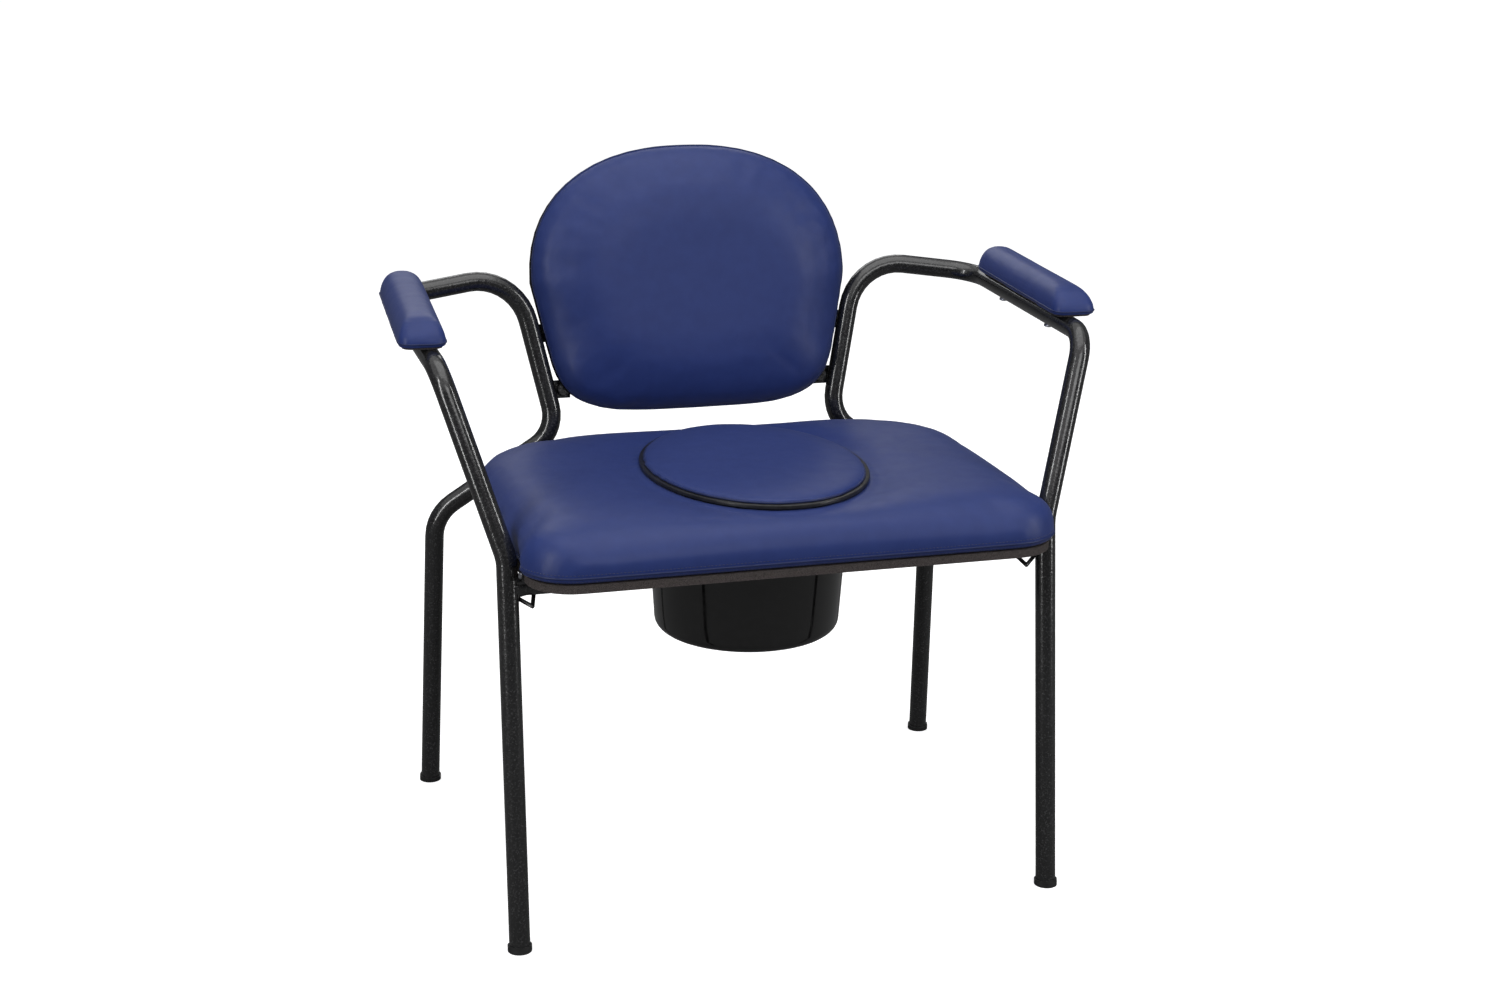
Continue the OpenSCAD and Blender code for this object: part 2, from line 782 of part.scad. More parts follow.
module back_panel() {
    color(black_plastic)
        in_back()
            difference() {
                back_plate(back_board_t, back_panel_t, 4);
                at_back_screws()
                    rotate([-90, 0, 0])
                        cylinder(d = nut_d + 2 * slip, h = back_rear + overcut, $fn = tube_fn);
            }
}

back_profile = [[1.5, 0], [0, 0.12], [2, 0.34], [7, 0.56], [15, 0.74], [29, 0.87], [52, 0.95], [100, 1]];
module back_cushion() {
    color(blue_vinyl)
        in_back()
            rotate([90, 0, 0])
                loft([for (q = back_profile) lifted(back_outline(q[0]), q[1] * back_pad_t)]);
}

module back_screws() {
    color(zinc)
        in_back()
            at_back_screws()
                translate([0, back_rear + plate_t, 0])
                    rotate([90, 0, 0])
                        screw(back_rear + plate_t - 2);
}

module back_tee_nuts() {
    color(zinc)
        in_back()
            at_back_screws()
                rotate([90, 0, 0])
                    tee_nut(back_board_t - 1);
}

module back_bracket(s) {
    color(black_coat)
        difference() {
            in_back()
                difference() {
                    translate([upright_x(s) - tab_reach, back_rear, s - tab_h / 2])
                        cube([tab_reach, plate_t, tab_h]);
                    translate([upright_x(s) - tab_screw_in, back_rear - overcut, s])
                        rotate([-90, 0, 0])
                            cylinder(d = screw_d + screw_clear, h = plate_t + 2 * overcut, $fn = wire_fn);
                }
            bar(waist, back_top, tube_d);
        }
}

// Arm pad: a board on the tube, wrapped by a cushion with a round rear end and a sloped front
arm_wrap = 5;
module arm_board(pad_out, pad_turn) {
    color(plywood)
        difference() {
            in_arm_pad(pad_out, pad_turn)
                linear_extrude(arm_board_t)
                    polygon(arm_outline(arm_wrap, arm_wrap));
            on_arm()
                at_arm_screws()
                    translate([0, 0, tube_r + arm_board_t])
                        nut_pocket(arm_board_t);
        }
}

arm_profile = [
    [1.5, 1.5, 0.02], [0, 0, 0.12], [0, 0, 0.26], [1.5, 3, 0.46], [4.5, 10, 0.66],
    [9, 21, 0.84], [15, 34, 0.95], [22, 54, 1]
];
module arm_cushion(pad_out, pad_turn) {
    pocket = arm_wrap - soft_gap;
    color(blue_vinyl)
        in_arm_pad(pad_out, pad_turn)
            loft(concat(
                [lifted(arm_outline(pocket, pocket), arm_board_t + soft_gap)],
                [lifted(arm_outline(pocket, pocket), 0.02 * arm_pad_h)],
                [for (q = arm_profile) lifted(arm_outline(q[0], q[1]), q[2] * arm_pad_h)]
            ));
}

module arm_screws() {
    color(zinc)
        both()
            on_arm()
                at_arm_screws()
                    translate([0, 0, -tube_r])
                        screw(tube_d + arm_board_t - 1);
}

module arm_tee_nuts() {
    color(zinc)
        both()
            on_arm()
                at_arm_screws()
                    translate([0, 0, tube_r + arm_board_t])
                        tee_nut(arm_board_t - 0.5);
}

side_frame();  // side_frame_left
mirrored() side_frame();  // side_frame_right
cross_tube(front_cross, front_foot, front_knee);  // front_cross_tube
cross_tube(rear_cross, rear_knee, waist);  // rear_cross_tube
seat_bracket_front();  // seat_bracket_front_left
mirrored() seat_bracket_front();  // seat_bracket_front_right
seat_bracket_rear();  // seat_bracket_rear_left
mirrored() seat_bracket_rear();  // seat_bracket_rear_right
pan_rail_front();
pan_rail_rear();
glide(front_foot, front_knee);  // glide_front_left
mirrored() glide(front_foot, front_knee);  // glide_front_right
glide(rear_foot, rear_knee);  // glide_rear_left
mirrored() glide(rear_foot, rear_knee);  // glide_rear_right
seat_board();
seat_cushion();
seat_screws();
seat_edge_screws();
seat_tee_nuts();
plug_base();
plug_board();
plug_cushion();
plug_screws();
pan();
back_board();
back_cushion();
back_panel();
back_screws();
back_tee_nuts();
back_bracket(back_tabs[0]);  // back_bracket_lower_left
mirrored() back_bracket(back_tabs[0]);  // back_bracket_lower_right
back_bracket(back_tabs[1]);  // back_bracket_upper_left
mirrored() back_bracket(back_tabs[1]);  // back_bracket_upper_right
arm_board(arm_pad_out_left, arm_pad_turn_left);  // arm_board_left
mirrored() arm_board(arm_pad_out_right, arm_pad_turn_right);  // arm_board_right
arm_cushion(arm_pad_out_left, arm_pad_turn_left);  // arm_cushion_left
mirrored() arm_cushion(arm_pad_out_right, arm_pad_turn_right);  // arm_cushion_right
arm_screws();
arm_tee_nuts();
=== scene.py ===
import math

import bmesh
import bpy
import numpy as np
from mathutils import Matrix, Vector
from mathutils.bvhtree import BVHTree
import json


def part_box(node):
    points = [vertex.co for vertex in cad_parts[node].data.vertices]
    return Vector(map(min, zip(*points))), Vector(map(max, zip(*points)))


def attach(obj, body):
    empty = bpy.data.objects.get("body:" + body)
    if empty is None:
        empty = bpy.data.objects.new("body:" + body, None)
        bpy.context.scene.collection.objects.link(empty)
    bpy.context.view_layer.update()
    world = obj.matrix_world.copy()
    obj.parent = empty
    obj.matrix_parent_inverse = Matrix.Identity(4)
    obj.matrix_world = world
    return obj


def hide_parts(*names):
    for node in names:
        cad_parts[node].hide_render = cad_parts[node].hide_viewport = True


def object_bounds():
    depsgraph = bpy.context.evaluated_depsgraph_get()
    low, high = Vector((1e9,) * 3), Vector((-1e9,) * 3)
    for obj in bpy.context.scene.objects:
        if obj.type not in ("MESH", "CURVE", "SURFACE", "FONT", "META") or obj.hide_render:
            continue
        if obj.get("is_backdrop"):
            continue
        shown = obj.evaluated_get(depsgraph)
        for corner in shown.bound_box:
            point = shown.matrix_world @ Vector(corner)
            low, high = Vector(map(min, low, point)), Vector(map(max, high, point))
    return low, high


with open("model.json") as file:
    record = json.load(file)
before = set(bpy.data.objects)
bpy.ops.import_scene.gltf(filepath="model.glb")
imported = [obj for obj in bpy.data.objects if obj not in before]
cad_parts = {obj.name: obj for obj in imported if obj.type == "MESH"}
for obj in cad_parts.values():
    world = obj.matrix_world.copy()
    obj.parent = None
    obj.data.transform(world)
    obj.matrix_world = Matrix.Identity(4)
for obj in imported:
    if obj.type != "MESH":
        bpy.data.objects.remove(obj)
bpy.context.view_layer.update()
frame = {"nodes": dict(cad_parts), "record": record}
scene = bpy.context.scene
MM = 0.001

# ---------------------------------------------------------------- materials


class Paint:
    """A node material: one Principled shader, with texture nodes added through short calls."""

    def __init__(self, name, **values):
        self.mat = bpy.data.materials.new(name)
        self.mat.use_nodes = True
        self.tree = self.mat.node_tree
        self.out = next(n for n in self.tree.nodes if n.type == "BSDF_PRINCIPLED")
        for socket, value in values.items():
            self.out.inputs[socket.replace("_", " ")].default_value = value
        self.coords = self.tree.nodes.new("ShaderNodeTexCoord").outputs["Object"]

    def wire(self, a, b):
        self.tree.links.new(a, b)

    def stretched(self, scale):
        node = self.tree.nodes.new("ShaderNodeMapping")
        node.inputs["Scale"].default_value = scale
        self.wire(self.coords, node.inputs["Vector"])
        return node.outputs["Vector"]

    def noise(self, scale, detail=4.0, roughness=0.5, coords=None):
        node = self.tree.nodes.new("ShaderNodeTexNoise")
        node.inputs["Scale"].default_value = scale
        node.inputs["Detail"].default_value = detail
        node.inputs["Roughness"].default_value = roughness
        self.wire(coords or self.coords, node.inputs["Vector"])
        return node.outputs["Fac"]

    def cells(self, scale, feature="F1", smoothness=None):
        node = self.tree.nodes.new("ShaderNodeTexVoronoi")
        node.feature = feature
        node.inputs["Scale"].default_value = scale
        if smoothness is not None:
            node.inputs["Smoothness"].default_value = smoothness
        self.wire(self.coords, node.inputs["Vector"])
        return node.outputs["Distance"]

    def ramp(self, value, stops):
        node = self.tree.nodes.new("ShaderNodeValToRGB")
        ramp = node.color_ramp
        while len(ramp.elements) < len(stops):
            ramp.elements.new(0.5)
        for element, (at, colour) in zip(ramp.elements, stops):
            element.position = at
            element.color = (*colour, 1.0)
        self.wire(value, node.inputs["Fac"])
        return node.outputs["Color"]

    def span(self, value, low, high, to_low, to_high):
        node = self.tree.nodes.new("ShaderNodeMapRange")
        for socket, v in zip(("From Min", "From Max", "To Min", "To Max"), (low, high, to_low, to_high)):
            node.inputs[socket].default_value = v
        self.wire(value, node.inputs["Value"])
        return node.outputs["Result"]

    def bump(self, value, strength, distance):
        """Adds a bump on top of the bumps already there."""
        node = self.tree.nodes.new("ShaderNodeBump")
        node.inputs["Strength"].default_value = strength
        node.inputs["Distance"].default_value = distance
        self.wire(value, node.inputs["Height"])
        before = self.out.inputs["Normal"].links
        if before:
            self.wire(before[0].from_socket, node.inputs["Normal"])
        self.wire(node.outputs["Normal"], self.out.inputs["Normal"])

    def colour(self, value):
        self.wire(value, self.out.inputs["Base Color"])

    def rough(self, value):
        self.wire(value, self.out.inputs["Roughness"])


def grey(v):
    return (v, v, v * 1.03)


def hammertone():
    """Black hammered paint: small shallow dimples with greyer flakes between them."""
    p = Paint("hammertone", Coat_Weight=0.5, Coat_Roughness=0.07, Specular_IOR_Level=0.6)
    flakes = p.noise(420, detail=3, roughness=0.65)
    p.colour(p.ramp(flakes, [(0.40, grey(0.006)), (0.56, grey(0.014)), (0.70, grey(0.050))]))
    p.rough(p.span(p.noise(60), 0.3, 0.7, 0.17, 0.28))
    p.bump(p.cells(330, "SMOOTH_F1", 0.6), 0.16, 0.0008)
    p.bump(flakes, 0.10, 0.0004)
    return p.mat


def vinyl(name="vinyl", lift=1.0):
    """Navy upholstery vinyl with a fine leather grain and faint handling marks; a lift below 1 darkens the colour
    as painted shade.
    """
    low = [c * lift for c in (0.0180, 0.0340, 0.1480)]
    high = [c * lift for c in (0.0205, 0.0380, 0.1620)]
    p = Paint(name, Specular_IOR_Level=0.30, Sheen_Weight=0.03, Sheen_Roughness=0.5)
    p.colour(p.ramp(p.noise(60, detail=6), [(0.35, low), (0.68, high)]))
    p.rough(p.span(p.noise(45, detail=5), 0.3, 0.7, 0.40, 0.46))
    p.bump(p.cells(1150, "F1"), 0.10, 0.0004)
    p.bump(p.noise(380, detail=5, roughness=0.6), 0.07, 0.0004)
    p.bump(p.noise(22, detail=2), 0.02, 0.002)
    return p.mat


def gloss_plastic():
    """Glossy black moulded plastic with faint moulding waves and dust."""
    p = Paint("gloss_plastic", Specular_IOR_Level=0.6, Coat_Weight=0.3, Coat_Roughness=0.03)
    p.colour(p.ramp(p.noise(120, detail=8), [(0.45, grey(0.004)), (0.75, grey(0.009))]))
    p.rough(p.span(p.noise(45, detail=6), 0.35, 0.75, 0.05, 0.16))
    p.bump(p.noise(9, detail=1, coords=p.stretched((1.0, 1.0, 0.35))), 0.10, 0.004)
    return p.mat


def satin_plastic(name, shade, rough_low, rough_high):
    """Black moulded plastic with a fine spark-eroded texture."""
    p = Paint(name, Specular_IOR_Level=0.45)
    p.colour(p.ramp(p.noise(90, detail=7), [(0.4, grey(shade)), (0.72, grey(shade * 1.9))]))
    p.rough(p.span(p.noise(70, detail=5), 0.3, 0.7, rough_low, rough_high))
    p.bump(p.noise(1600, detail=3, roughness=0.7), 0.16, 0.0003)
    return p.mat


def board_cloth():
    """Dark grey-brown lining fabric stapled round the seat board."""
    p = Paint("board_cloth", Roughness=0.85, Specular_IOR_Level=0.2)
    threads = p.noise(900, detail=4, roughness=0.7, coords=p.stretched((1.0, 1.0, 1.8)))
    p.colour(p.ramp(threads, [(0.36, (0.016, 0.014, 0.014)), (0.66, (0.115, 0.098, 0.094))]))
    p.bump(threads, 0.5, 0.0008)
    p.bump(p.cells(520, "F1"), 0.25, 0.0006)
    return p.mat


def plywood():
    """Plywood with long grain and darker pores."""
    p = Paint("plywood", Specular_IOR_Level=0.3)
    grain = p.noise(40, detail=7, roughness=0.62, coords=p.stretched((0.25, 6.0, 6.0)))
    p.colour(p.ramp(grain, [(0.34, (0.30, 0.17, 0.075)), (0.56, (0.46, 0.29, 0.14)), (0.74, (0.56, 0.38, 0.20))]))
    p.rough(p.span(grain, 0.3, 0.7, 0.55, 0.75))
    p.bump(grain, 0.2, 0.0005)
    return p.mat


def zinc_plate():
    """Bright zinc plate with turning marks and duller patches."""
    p = Paint("zinc_plate", Metallic=1.0)
    patches = p.noise(170, detail=5)
    p.colour(p.ramp(patches, [(0.35, (0.42, 0.43, 0.46)), (0.7, (0.72, 0.73, 0.76))]))
    p.rough(p.span(patches, 0.3, 0.7, 0.22, 0.42))
    p.bump(p.noise(2400, detail=2), 0.12, 0.0002)
    return p.mat


def thread():
    """Navy sewing thread."""
    p = Paint("thread", Roughness=0.6, Sheen_Weight=0.2)
    strands = p.noise(2600, detail=2, coords=p.stretched((1.0, 1.0, 2.0)))
    p.colour(p.ramp(strands, [(0.35, (0.010, 0.014, 0.055)), (0.7, (0.028, 0.040, 0.135))]))
    p.bump(strands, 0.3, 0.0003)
    return p.mat


def floor_paint():
    """A pale studio floor that throws only a little light back on what stands on it."""
    p = Paint("floor_paint", Specular_IOR_Level=0.2)
    p.colour(p.ramp(p.noise(3, detail=3), [(0.3, (0.875, 0.875, 0.875)), (0.7, (0.895, 0.895, 0.895))]))
    p.rough(p.span(p.noise(9), 0.3, 0.7, 0.7, 0.8))
    p.out.inputs["Emission Color"].default_value = (1, 1, 1, 1)
    p.out.inputs["Emission Strength"].default_value = 0.62
    unlit = p.tree.nodes.new("ShaderNodeBsdfDiffuse")
    unlit.inputs["Color"].default_value = (0.16, 0.16, 0.16, 1)
    choose = p.tree.nodes.new("ShaderNodeMixShader")
    p.wire(p.tree.nodes.new("ShaderNodeLightPath").outputs["Is Camera Ray"], choose.inputs["Fac"])
    p.wire(unlit.outputs["BSDF"], choose.inputs[1])
    p.wire(p.out.outputs["BSDF"], choose.inputs[2])
    p.wire(choose.outputs["Shader"], p.tree.nodes["Material Output"].inputs["Surface"])
    return p.mat


COAT, VINYL, GLOSS, LINING = hammertone(), vinyl(), gloss_plastic(), board_cloth()
# The welt cords use the cover vinyl at 0.55 of its colour: painted shade standing in for the dark groove of the
# seam along each welt.
SHADED_WELT_VINYL = vinyl("welt_vinyl_painted_shade", 0.55)
LIP = satin_plastic("lip_plastic", 0.010, 0.28, 0.42)
FOOT = satin_plastic("foot_plastic", 0.009, 0.45, 0.65)
TRIM = satin_plastic("trim_plastic", 0.011, 0.40, 0.55)
WOOD, ZINC, THREAD = plywood(), zinc_plate(), thread()
SLOT_PAINT = {
    "frame_coat": COAT, "glide": FOOT, "board": WOOD, "vinyl": VINYL, "zinc": ZINC,
    "plug_shell": LIP, "pan_shell": GLOSS, "trim": TRIM,
}


BLACKENED = ("back_screws", "back_tee_nuts")
LINED = ("seat_board", "arm_board_left", "arm_board_right", "back_board")


def paint(obj, mat):
    obj.data.materials.clear()
    obj.data.materials.append(mat)


slot_of = {s["node"]: s["material_slot"] for s in frame["record"]["subparts"]}
body_of = {n: b for b, nodes in frame["record"]["behaviour"]["bodies"].items() for n in nodes}
for node_name, node in frame["nodes"].items():
    if node_name in BLACKENED:
        paint(node, COAT)
        continue
    paint(node, LINING if node_name in LINED else SLOT_PAINT[slot_of[node_name]])

# ---------------------------------------------------------------- shared tools


def link(obj):
    scene.collection.objects.link(obj)
    return obj


def settle(obj, node_name, replace=True):
    """Rides obj on the body of a CAD node and, if replace, hides that node so that obj stands in for it."""
    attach(obj, body_of[node_name])
    if replace:
        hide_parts(node_name)
    return obj


def copy_of(node_name, name, merge=1e-5):
    """A separate copy of a CAD node, its split corners welded."""
    mesh = frame["nodes"][node_name].data.copy()
    bm = bmesh.new()
    bm.from_mesh(mesh)
    bmesh.ops.remove_doubles(bm, verts=bm.verts, dist=merge)
    bm.to_mesh(mesh)
    bm.free()
    if "custom_normal" in mesh.attributes:
        mesh.attributes.remove(mesh.attributes["custom_normal"])
    return link(bpy.data.objects.new(name, mesh))


def bake(obj):
    """Replaces the mesh of obj by what its modifiers make of it."""
    graph = bpy.context.evaluated_depsgraph_get()
    mesh = bpy.data.meshes.new_from_object(obj.evaluated_get(graph))
    obj.modifiers.clear()
    obj.data = mesh
    return obj


def smooth(obj, angle=40):
    obj.data.shade_smooth()
    obj.data.set_sharp_from_angle(angle=math.radians(angle))


# ---------------------------------------------------------------- metal and plastic

for node_name in ("side_frame_left", "side_frame_right", "pan_rail_rear", "pan_rail_front"):
    tube = copy_of(node_name, node_name + "_painted")
    smooth(tube, 50)
    paint(tube, COAT)
    settle(tube, node_name)

for node_name in ("pan", "plug_base"):
    shell = copy_of(node_name, node_name + "_moulded")
    smooth(shell, 35)
    edge = shell.modifiers.new("edge", "BEVEL")
    edge.width = 0.9 * MM
    edge.segments = 3
    edge.limit_method = "ANGLE"
    edge.angle_limit = math.radians(35)
    bake(shell)
    smooth(shell, 50)
    paint(shell, SLOT_PAINT[slot_of[node_name]])
    settle(shell, node_name)

# ---------------------------------------------------------------- cushions

CLOTH_FRAMES = 20
seat_low, seat_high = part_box("seat_cushion")
lip_low, lip_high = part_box("plug_base")
lip_mid = (lip_low + lip_high) / 2
lip_half = (lip_high - lip_low) / 2
back_low, back_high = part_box("back_cushion")


FOLD_SHARE = 0.22


def eased(mesh, moves, rounds, keep):
    """moves averaged over neighbours rounds times, plus a share keep of the folds that this takes out."""
    edges = np.array([e.vertices[:] for e in mesh.edges])
    count = np.bincount(edges.ravel(), minlength=len(moves))[:, None]
    soft = moves.copy()
    for _ in range(rounds):
        total = np.zeros_like(soft)
        for k in range(3):
            total[:, k] = np.bincount(edges[:, 0], soft[edges[:, 1], k], len(moves))
            total[:, k] += np.bincount(edges[:, 1], soft[edges[:, 0], k], len(moves))
        soft = 0.5 * soft + 0.5 * total / count
    return soft + keep * (moves - soft)


def puffed(node_name, name, voxel, inset, cap, held, pressure=4.0, stiff=14.0, rounds=60):
    """The CAD cushion as a skin of cloth blown up from inside. held(p) is true where it is fixed."""
    piece = copy_of(node_name, name)
    skin = piece.modifiers.new("skin", "REMESH")
    skin.mode = "VOXEL"
    skin.voxel_size = voxel
    soften = piece.modifiers.new("soften", "SMOOTH")
    soften.factor = 0.5
    soften.iterations = 4
    bake(piece)
    verts = piece.data.vertices
    fixed = [held(v.co) for v in verts]
    ways = [v.normal.copy() for v in verts]
    for v, way, still in zip(verts, ways, fixed):
        if not still:
            v.co -= way * inset
    before = np.array([v.co for v in verts])
    group = piece.vertex_groups.new(name="held")
    group.add([i for i, still in enumerate(fixed) if still], 1.0, "REPLACE")
    cloth = piece.modifiers.new("cloth", "CLOTH")
    s = cloth.settings
    s.quality = 5
    s.mass = 0.2
    s.tension_stiffness = s.compression_stiffness = stiff
    s.shear_stiffness = stiff / 2
    s.bending_stiffness = 0.6
    s.air_damping = 2.0
    s.use_pressure = True
    s.uniform_pressure_force = pressure
    s.vertex_group_mass = group.name
    s.effector_weights.gravity = 0
    cloth.collision_settings.use_collision = False
    cloth.point_cache.frame_start = 1
    cloth.point_cache.frame_end = CLOTH_FRAMES
    for f in range(1, CLOTH_FRAMES + 1):
        scene.frame_set(f)
    bake(piece)
    moves = np.array([v.co for v in piece.data.vertices]) - before
    sizes = np.linalg.norm(moves, axis=1)[:, None]
    moves *= np.minimum(1, cap / np.maximum(sizes, 1e-9))
    moves = eased(piece.data, moves, rounds, FOLD_SHARE)
    piece.data.vertices.foreach_set("co", (before + moves).astype(np.float32).ravel())
    scene.frame_set(1)
    even = piece.modifiers.new("even", "SMOOTH")
    even.factor = 0.5
    even.iterations = 5
    fine = piece.modifiers.new("fine", "SUBSURF")
    fine.levels = fine.render_levels = 1
    bake(piece)
    piece.data.shade_smooth()
    paint(piece, VINYL)
    settle(piece, node_name)
    return piece


def lowered(piece, floor_z, share):
    """Brings what stands above floor_z down to that share of its height."""
    for v in piece.data.vertices:
        if v.co.z > floor_z:
            v.co.z = floor_z + (v.co.z - floor_z) * share


def near_opening(p, margin):
    return math.hypot((p.x - lip_mid.x) / (lip_half.x + margin), (p.y - lip_mid.y) / (lip_half.y + margin)) < 1


SEAT_HELD_H = 7 * MM
seat = puffed(
    "seat_cushion", "seat_cushion_cover", 6 * MM, 3.5 * MM, 8 * MM,
    lambda p: p.z < seat_low.z + SEAT_HELD_H or near_opening(p, 6 * MM),
)
plug_low, plug_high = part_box("plug_cushion")
plug = puffed(
    "plug_cushion", "plug_cushion_cover", 4 * MM, 1 * MM, 2.5 * MM,
    lambda p: p.z < plug_low.z + 3 * MM,
)
lowered(plug, plug_low.z + 1 * MM, 0.6)

# The back's own way to the rear, square to its board
RECLINE = math.radians(13)
back_rear = Vector((0, math.cos(RECLINE), -math.sin(RECLINE)))
back_face = max(v.co @ back_rear for v in frame["nodes"]["back_cushion"].data.vertices)
back = puffed(
    "back_cushion", "back_cushion_cover", 5 * MM, 2.5 * MM, 9 * MM,
    lambda p: p @ back_rear > back_face - 4 * MM,
)

# The arm tubes rise a little to the rear
ARM_RISE = math.atan(10 / 362)
arm_up = Vector((0, -math.sin(ARM_RISE), math.cos(ARM_RISE)))
arms = {}
for side in ("left", "right"):
    node_name = "arm_cushion_" + side
    foot = min(v.co @ arm_up for v in frame["nodes"][node_name].data.vertices)
    arms[side] = puffed(
        node_name, node_name + "_cover", 3 * MM, 0.6 * MM, 4 * MM,
        lambda p, foot=foot: p @ arm_up < foot + 5 * MM,
    ), foot

# ---------------------------------------------------------------- seams


def ring_on(obj, centre, up, count=720):
    """Points and normals where a plane through centre, square to up, cuts the outside of obj."""
    tree = BVHTree.FromObject(obj, bpy.context.evaluated_depsgraph_get())
    across = up.orthogonal().normalized()
    ahead = up.cross(across)
    found = []
    for i in range(count):
        a = 2 * math.pi * i / count
        way = across * math.cos(a) + ahead * math.sin(a)
        hit, normal, _, _ = tree.ray_cast(centre + way, -way)
        if hit is not None:
            found.append((hit, normal))
    return found


def spaced(ring, gap):
    """Points along a closed ring, evenly spaced, each with the way ahead and the normal."""
    sizes = [(ring[(i + 1) % len(ring)][0] - ring[i][0]).length for i in range(len(ring))]
    total = sum(sizes)
    count = max(3, round(total / gap))
    out, i, run = [], 0, 0.0
    for k in range(count):
        target = total * k / count
        while i < len(ring) - 1 and run + sizes[i] < target:
            run += sizes[i]
            i += 1
        a, b = ring[i], ring[(i + 1) % len(ring)]
        t = (target - run) / max(sizes[i], 1e-9)
        out.append((a[0].lerp(b[0], t), (b[0] - a[0]).normalized(), a[1].lerp(b[1], t).normalized()))
    return out


def cord_round(ring, name, radius, mat, node_name, out=0.0):
    """A closed round cord laid along a ring, lifted off it by out."""
    points = spaced(ring, 4 * MM)
    data = bpy.data.curves.new(name, "CURVE")
    data.dimensions = "3D"
    data.bevel_depth = radius
    data.bevel_resolution = 3
    line = data.splines.new("POLY")
    line.points.add(len(points) - 1)
    for q, (p, _, n) in zip(line.points, points):
        q.co = (*(p + n * out), 1.0)
    line.use_cyclic_u = True
    line.use_smooth = True
    obj = link(bpy.data.objects.new(name, data))
    data.materials.append(mat)
    return settle(obj, node_name, replace=False)


def stitch_row(ring, name, node_name, length=3.2 * MM, gap=4.4 * MM, radius=0.42 * MM):
    """A row of short stitches that lie along a ring."""
    bm = bmesh.new()
    for p, ahead, n in spaced(ring, gap):
        side = n.cross(ahead).normalized()
        up = ahead.cross(side)
        turn = Matrix((side, ahead, up)).transposed().to_4x4()
        size = Matrix.Diagonal((radius, length / 2, radius, 1.0))
        bmesh.ops.create_icosphere(
            bm, subdivisions=1, radius=1.0, matrix=Matrix.Translation(p + n * radius * 0.3) @ turn @ size
        )
    mesh = bpy.data.meshes.new(name)
    bm.to_mesh(mesh)
    bm.free()
    mesh.shade_smooth()
    mesh.materials.append(THREAD)
    return settle(link(bpy.data.objects.new(name, mesh)), node_name, replace=False)


UP = Vector((0, 0, 1))
seat_mid = (seat_low + seat_high) / 2


def seat_ring(z):
    return ring_on(seat, Vector((seat_mid.x, seat_mid.y, seat_low.z + z)), UP)


cord_round(seat_ring(8.5 * MM), "seat_welt", 1.5 * MM, SHADED_WELT_VINYL, "seat_cushion", out=0.2 * MM)
stitch_row(seat_ring(12.5 * MM), "seat_stitches_upper", "seat_cushion")
stitch_row(seat_ring(4.5 * MM), "seat_stitches_lower", "seat_cushion")
plug_mid = (plug_low + plug_high) / 2
plug_ring = ring_on(plug, Vector((plug_mid.x, plug_mid.y, plug_low.z + 1.5 * MM)), UP)
cord_round(plug_ring, "plug_welt", 1.3 * MM, SHADED_WELT_VINYL, "plug_cushion", out=0.4 * MM)
back_mid = (back_low + back_high) / 2
back_edge = back_mid + back_rear * (back_face - 7 * MM - back_mid @ back_rear)
cord_round(ring_on(back, back_edge, back_rear), "back_welt", 1.4 * MM, SHADED_WELT_VINYL, "back_cushion", out=0.2 * MM)
for side, (pad, foot) in arms.items():
    low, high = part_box("arm_cushion_" + side)
    mid = (low + high) / 2
    edge = mid + arm_up * (foot + 6 * MM - mid @ arm_up)
    cord_round(ring_on(pad, edge, arm_up), f"arm_welt_{side}", 1.1 * MM, SHADED_WELT_VINYL, "arm_cushion_" + side, out=0.2 * MM)

# ---------------------------------------------------------------- studio

floor = link(bpy.data.objects.new("floor", bpy.data.meshes.new("floor")))
bm = bmesh.new()
bmesh.ops.create_grid(bm, x_segments=4, y_segments=4, size=30.0)
bm.to_mesh(floor.data)
bm.free()
floor.location.z = -0.2 * MM
paint(floor, floor_paint())
floor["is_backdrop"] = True

world = bpy.data.worlds.new("studio")
scene.world = world
world.use_nodes = True
tree = world.node_tree
fill = tree.nodes["Background"]
fill.inputs["Color"].default_value = (0.92, 0.94, 1.0, 1)
fill.inputs["Strength"].default_value = 0.12
seen = tree.nodes.new("ShaderNodeBackground")
seen.inputs["Color"].default_value = (1, 1, 1, 1)
seen.inputs["Strength"].default_value = 1.0
choose = tree.nodes.new("ShaderNodeMixShader")
tree.links.new(tree.nodes.new("ShaderNodeLightPath").outputs["Is Camera Ray"], choose.inputs["Fac"])
tree.links.new(fill.outputs["Background"], choose.inputs[1])
tree.links.new(seen.outputs["Background"], choose.inputs[2])
tree.links.new(choose.outputs["Shader"], tree.nodes["World Output"].inputs["Surface"])


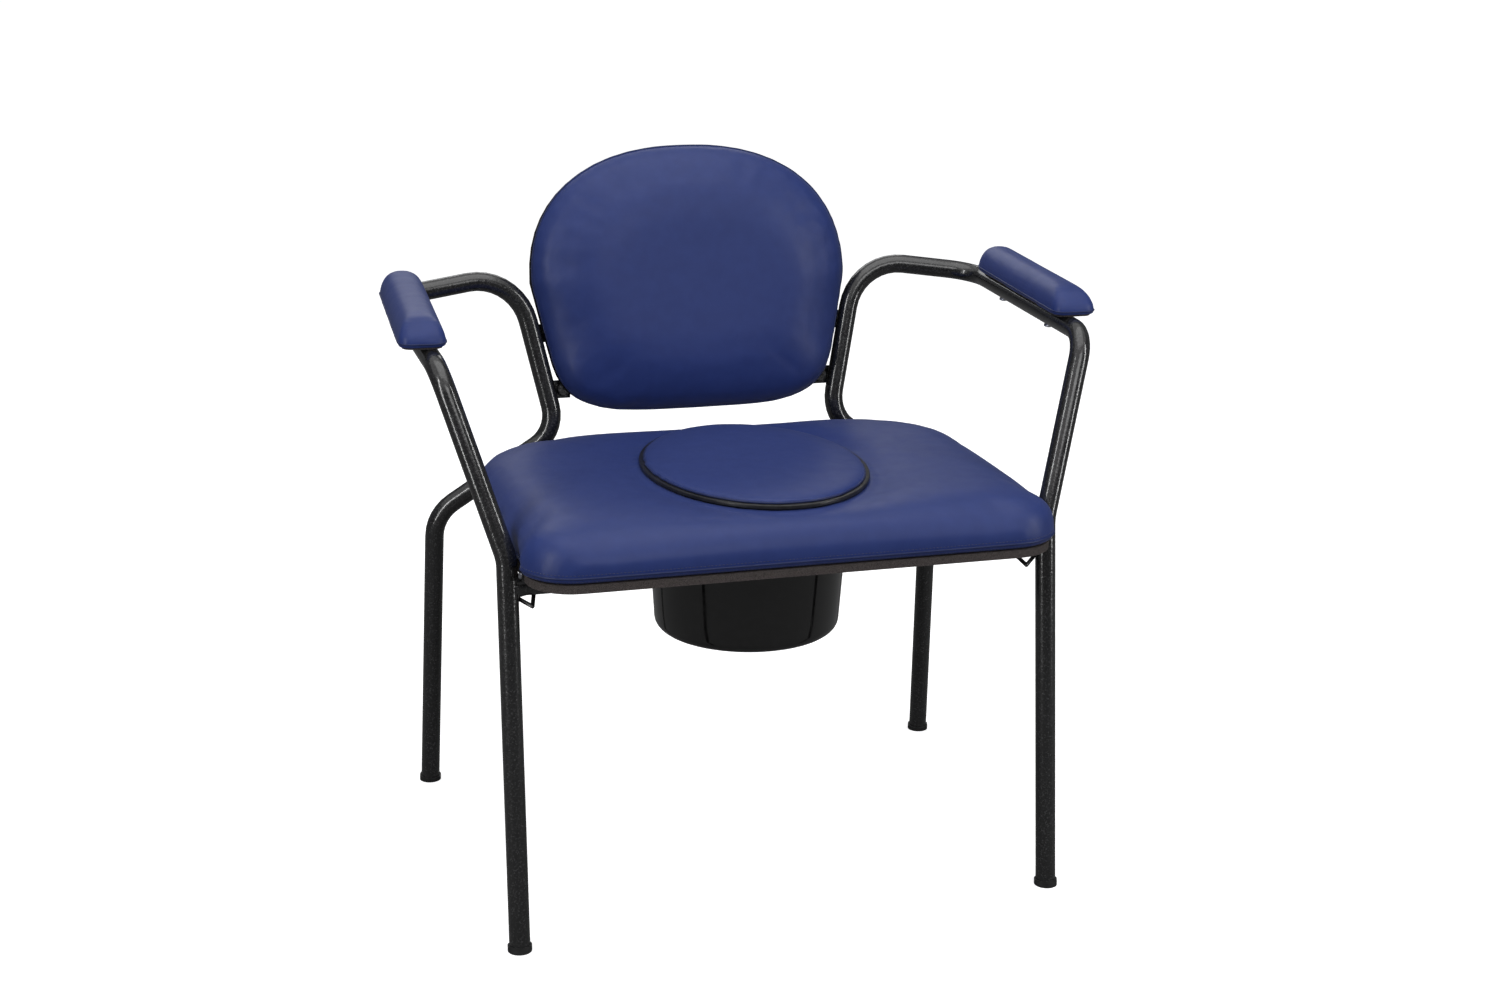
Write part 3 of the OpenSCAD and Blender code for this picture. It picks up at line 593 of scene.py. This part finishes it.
def softbox(name, place, aim, wide, high, watts, colour=(1, 1, 1)):
    data = bpy.data.lights.new(name, "AREA")
    data.shape = "RECTANGLE"
    data.size, data.size_y = wide, high
    data.energy = watts
    data.color = colour
    lamp = link(bpy.data.objects.new(name, data))
    lamp.location = place
    lamp.rotation_euler = (Vector(aim) - Vector(place)).to_track_quat("-Z", "Y").to_euler()


CHEST = (0, 0, 0.5)
softbox("overhead", (0.0, -0.4, 3.0), CHEST, 2.6, 2.6, 26)
softbox("left_box", (-2.6, -1.6, 1.25), CHEST, 0.30, 2.4, 30)
softbox("right_box", (2.4, -1.7, 1.25), CHEST, 0.25, 2.4, 28)
softbox("front_box", (0.4, -3.6, 2.4), CHEST, 1.8, 1.2, 18)
softbox("rear_box", (0.2, 2.8, 2.2), CHEST, 2.4, 1.0, 14)
sky = bpy.data.lights.new("sky", "SUN")
sky.energy = 1.25
sky.angle = math.radians(110)
link(bpy.data.objects.new("sky", sky)).rotation_euler = (math.radians(12), math.radians(-8), 0)

# The camera solved from the photograph: place in metres, angles in degrees
CAMERA_PLACE = Vector((-0.7727, -2.6100, 1.2706))
AZIMUTH, ELEVATION, ROLL = math.radians(-16.81), math.radians(16.63), math.radians(0.8)
FOCAL_MM, SENSOR_MM = 53.707, 36.0
ahead = Vector((
    -math.sin(AZIMUTH) * math.cos(ELEVATION), math.cos(AZIMUTH) * math.cos(ELEVATION), -math.sin(ELEVATION)
))
level = Vector((math.cos(AZIMUTH), math.sin(AZIMUTH), 0))
rise = level.cross(ahead)
right = math.cos(ROLL) * level + math.sin(ROLL) * rise
top = -math.sin(ROLL) * level + math.cos(ROLL) * rise
camera = link(bpy.data.objects.new("camera", bpy.data.cameras.new("camera")))
camera.matrix_world = Matrix.Translation(CAMERA_PLACE) @ Matrix((right, top, -ahead)).transposed().to_4x4()
camera.data.lens = FOCAL_MM
camera.data.sensor_width = SENSOR_MM
camera.data.clip_start, camera.data.clip_end = 0.05, 100
scene.camera = camera
scene.view_settings.view_transform = "Standard"
scene.view_settings.look = "None"

low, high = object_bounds()
